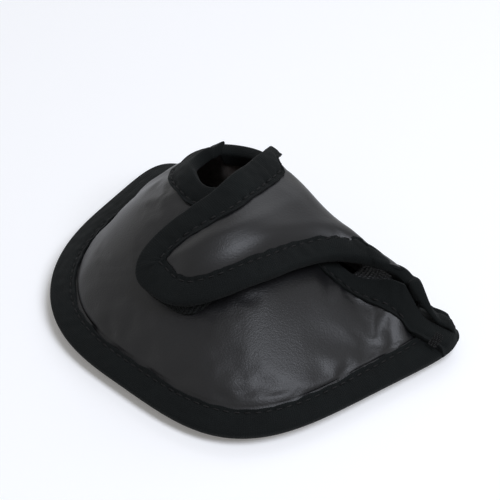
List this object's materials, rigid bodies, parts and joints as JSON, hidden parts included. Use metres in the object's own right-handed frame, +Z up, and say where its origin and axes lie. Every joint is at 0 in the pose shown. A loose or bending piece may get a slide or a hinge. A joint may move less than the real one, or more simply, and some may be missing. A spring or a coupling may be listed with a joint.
{
  "type": "mallet putter head cover",
  "caption": "Padded leather-look head cover for a mallet putter, with a bound flange, a neck opening at the heel and a hook-and-loop flap over the mouth.",
  "frame": {"origin": "centre of the bound flange's outline, on the plane that the sole stands on", "axes": "+X towards the toe, +Y towards the putter's face side where the flap is joined, +Z up"},
  "size_m": [0.1382, 0.0972, 0.048],
  "materials": {
    "pu_leather": "semi-gloss fine grain",
    "binding_tape": "matt woven tape",
    "foam": "open-cell foam",
    "lining": "brushed knit",
    "hook_and_loop": "hook and loop pile",
    "thread": "twisted sewing thread",
    "elastic": "ribbed woven elastic"
  },
  "bodies": {
    "cover": {"sole_panel": "pu_leather", "sole_padding": "foam", "sole_lining": "lining", "front_panel": "pu_leather", "front_padding": "foam", "front_lining": "lining", "face_panel": "pu_leather", "face_padding": "foam", "face_lining": "lining", "perimeter_binding": "binding_tape", "front_edge_binding": "binding_tape", "face_edge_binding": "binding_tape", "heel_seam_tape": "binding_tape", "elastic_bridge": "elastic", "loop_patch": "hook_and_loop", "loop_patch_stitching": "thread", "perimeter_stitching": "thread", "front_edge_stitching": "thread", "corner_bartack": "thread"},
    "flap": {"flap_panel": "pu_leather", "flap_padding": "foam", "flap_lining": "lining", "flap_binding": "binding_tape", "hook_patch": "hook_and_loop", "flap_stitching": "thread", "hook_patch_stitching": "thread"}
  },
  "joints": [
    {"name": "flap_fold", "type": "hinge", "parent": "cover", "child": "flap", "pos_m": [0.017, 0.0365, 0.0355], "axis": [-0.9638, 0, 0.2666], "range_deg": [0, 150]}
  ]
}
